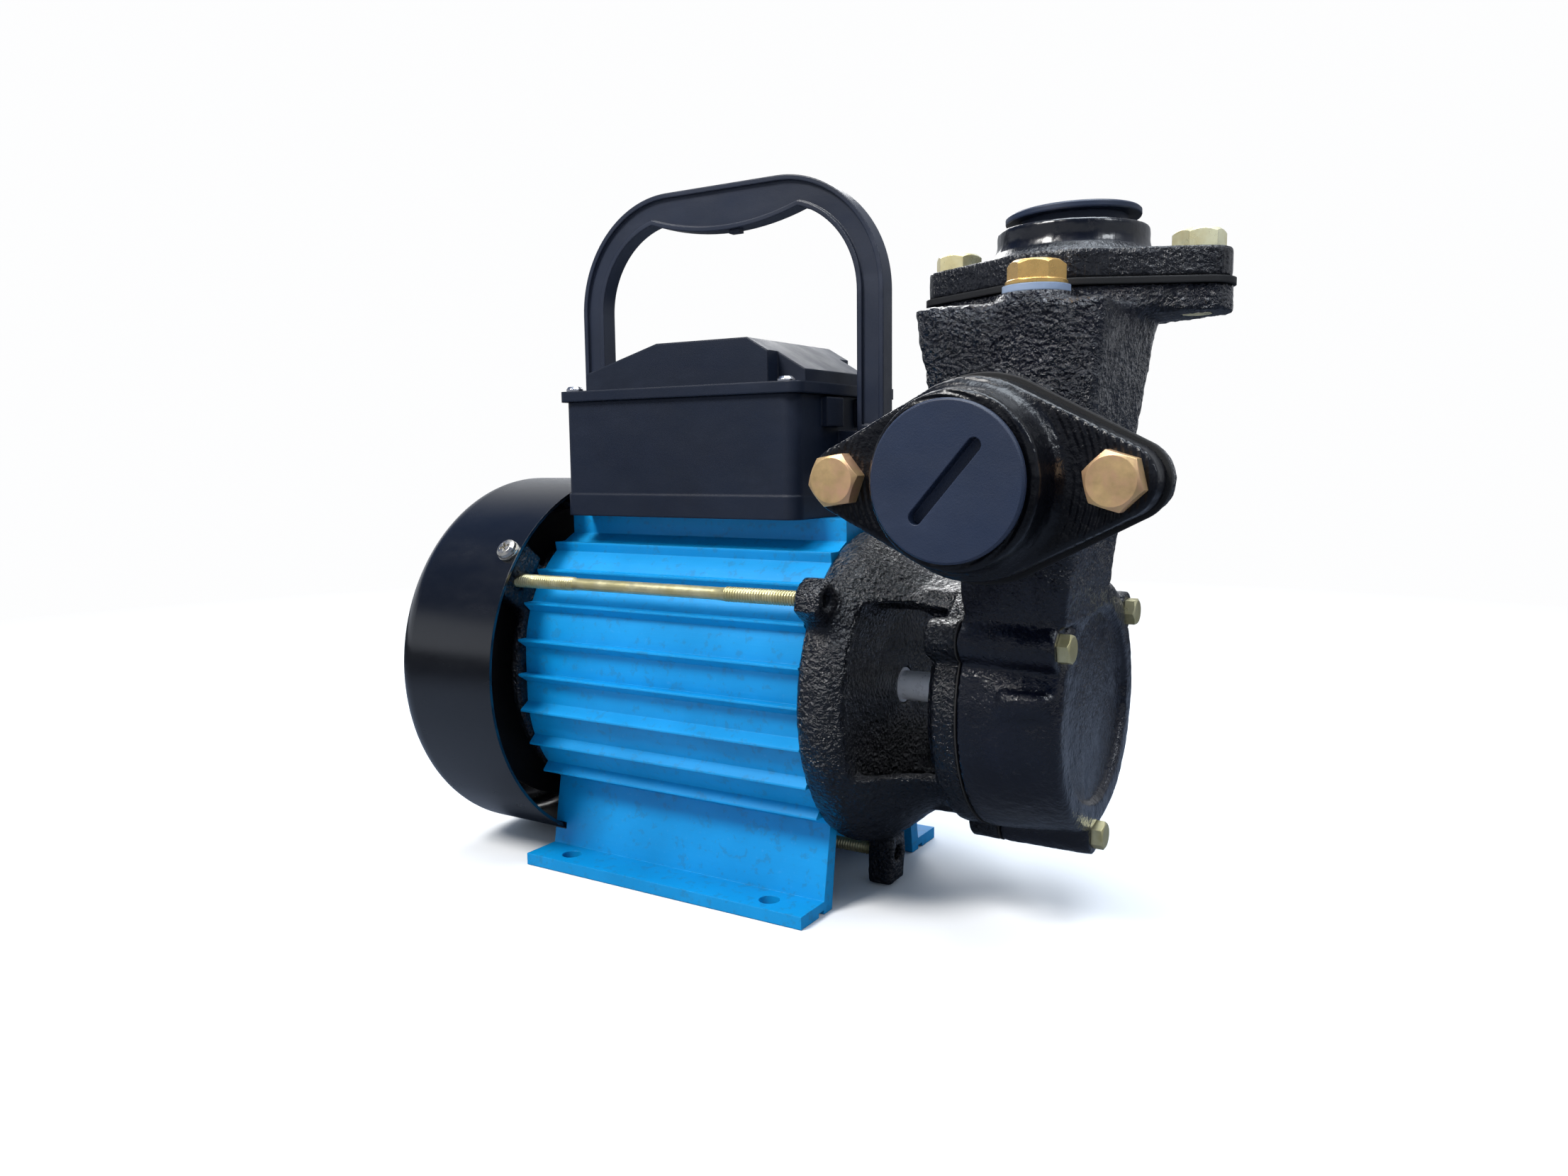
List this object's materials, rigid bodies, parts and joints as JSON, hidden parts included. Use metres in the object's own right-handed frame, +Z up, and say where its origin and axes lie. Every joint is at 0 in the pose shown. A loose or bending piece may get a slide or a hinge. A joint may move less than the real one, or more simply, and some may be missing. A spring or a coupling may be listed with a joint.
{
  "type": "self-priming water pump with electric motor",
  "caption": "Small self-priming water pump close-coupled to a ribbed motor with fan cover, terminal box, carrying handle and two flanged pipe ports.",
  "frame": {"origin": "centre of the four foot holes, on the plane the feet stand on", "axes": "+X along the motor shaft from the fan to the pump, +Z up; the suction port opens towards -Y and the delivery port towards +Z"},
  "size_m": [0.2776, 0.1648, 0.2444],
  "materials": {
    "blue_paint": "sky-blue enamel, satin, over an aluminium extrusion",
    "cast_black": "glossy black enamel over a rough sand casting",
    "cast_black_rough": "black enamel over a rough casting, satin",
    "cover_black": "semi-gloss black powder coat on pressed steel sheet",
    "black_plastic": "matte moulded plastic, fine texture",
    "cap_plastic": "satin moulded plastic",
    "fan_plastic": "matte moulded plastic",
    "lamination": "stacked electrical steel",
    "copper": "varnished copper wire",
    "lead_red": "insulated wire",
    "rotor_alloy": "die cast",
    "steel": "ground steel",
    "bearing_steel": "polished steel",
    "chrome_screw": "bright plated",
    "zinc_yellow": "yellow zinc plate, slightly worn",
    "brass": "bright brass",
    "nylon": "white translucent nylon",
    "rubber": "matte black rubber",
    "gasket_paper": "pressed fibre sheet",
    "ceramic": "polished ceramic",
    "seal_black": "carbon and rubber",
    "capacitor_can": "moulded plastic case",
    "bakelite": "moulded phenolic"
  },
  "bodies": {
    "pump_unit": {"motor_body": "blue_paint", "stator_core": "lamination", "stator_windings": "copper", "motor_leads": "lead_red", "rear_end_shield": "cast_black_rough", "rear_bearing_outer_race": "bearing_steel", "front_bearing_outer_race": "bearing_steel", "fan_cover": "cover_black", "fan_cover_washers": "chrome_screw", "fan_cover_screws": "chrome_screw", "tie_rods": "zinc_yellow", "front_bracket": "cast_black_rough", "casing_gasket": "gasket_paper", "pump_casing": "cast_black", "casing_bolts": "zinc_yellow", "seal_seat": "ceramic", "suction_gasket": "rubber", "suction_flange": "cast_black", "suction_flange_bolts": "zinc_yellow", "delivery_gasket": "rubber", "delivery_flange": "cast_black", "delivery_flange_bolts": "zinc_yellow", "terminal_box_base": "black_plastic", "terminal_box_lid": "black_plastic", "lid_screws": "steel", "box_fixing_screws": "steel", "terminal_block": "bakelite", "terminal_screws": "brass", "capacitor": "capacitor_can", "cable_grommet": "rubber", "handle": "black_plastic", "handle_screws": "steel"},
    "rotor": {"motor_shaft": "steel", "impeller_key": "steel", "rotor_core": "lamination", "rotor_end_rings": "rotor_alloy", "rear_bearing_inner_race": "bearing_steel", "front_bearing_inner_race": "bearing_steel", "cooling_fan": "fan_plastic", "fan_clip": "steel", "impeller": "brass", "impeller_nut": "brass", "seal_head": "seal_black", "seal_spring": "steel"},
    "rear_ball_set": {"rear_bearing_balls": "bearing_steel"},
    "front_ball_set": {"front_bearing_balls": "bearing_steel"},
    "suction_flap_valve": {"suction_flap": "rubber", "suction_flap_weight": "steel"},
    "suction_port_cap": {"suction_cap": "cap_plastic"},
    "delivery_port_cap": {"delivery_cap": "cap_plastic"},
    "priming_washer": {"priming_plug_washer": "nylon"},
    "priming_screw_plug": {"priming_plug": "brass"}
  },
  "joints": [
    {"name": "shaft_spin", "type": "hinge", "parent": "pump_unit", "child": "rotor", "pos_m": [0, 0, 0.071], "axis": [1, 0, 0], "continuous": true},
    {"name": "rear_ball_spin", "type": "hinge", "parent": "pump_unit", "child": "rear_ball_set", "pos_m": [-0.065, 0, 0.071], "axis": [1, 0, 0], "continuous": true},
    {"name": "front_ball_spin", "type": "hinge", "parent": "pump_unit", "child": "front_ball_set", "pos_m": [0.065, 0, 0.071], "axis": [1, 0, 0], "continuous": true},
    {"name": "suction_flap_swing", "type": "hinge", "parent": "pump_unit", "child": "suction_flap_valve", "pos_m": [0.1266, -0.069, 0.1559], "axis": [1, 0, 0], "range_deg": [0, 40]},
    {"name": "suction_cap_draw", "type": "slide", "parent": "pump_unit", "child": "suction_port_cap", "axis": [0, -1, 0], "range_m": [0, 0.014]},
    {"name": "delivery_cap_draw", "type": "slide", "parent": "pump_unit", "child": "delivery_port_cap", "axis": [0, 0, 1], "range_m": [-0.0018, 0.014]},
    {"name": "priming_washer_lift", "type": "slide", "parent": "pump_unit", "child": "priming_washer", "axis": [0, 0, 1], "range_m": [0, 0.0082]},
    {"name": "priming_plug_turn", "type": "hinge", "parent": "priming_washer", "child": "priming_screw_plug", "pos_m": [0.1283, -0.0366, 0.1943], "axis": [0, 0, 1], "range_deg": [0, 2160]}
  ],
  "couplings": [
    {"joint": "rear_ball_spin", "follows": "shaft_spin", "ratio": 0.3659},
    {"joint": "front_ball_spin", "follows": "shaft_spin", "ratio": 0.3659},
    {"joint": "priming_washer_lift", "follows": "priming_plug_turn", "m_per_rad": 0.00021279}
  ]
}
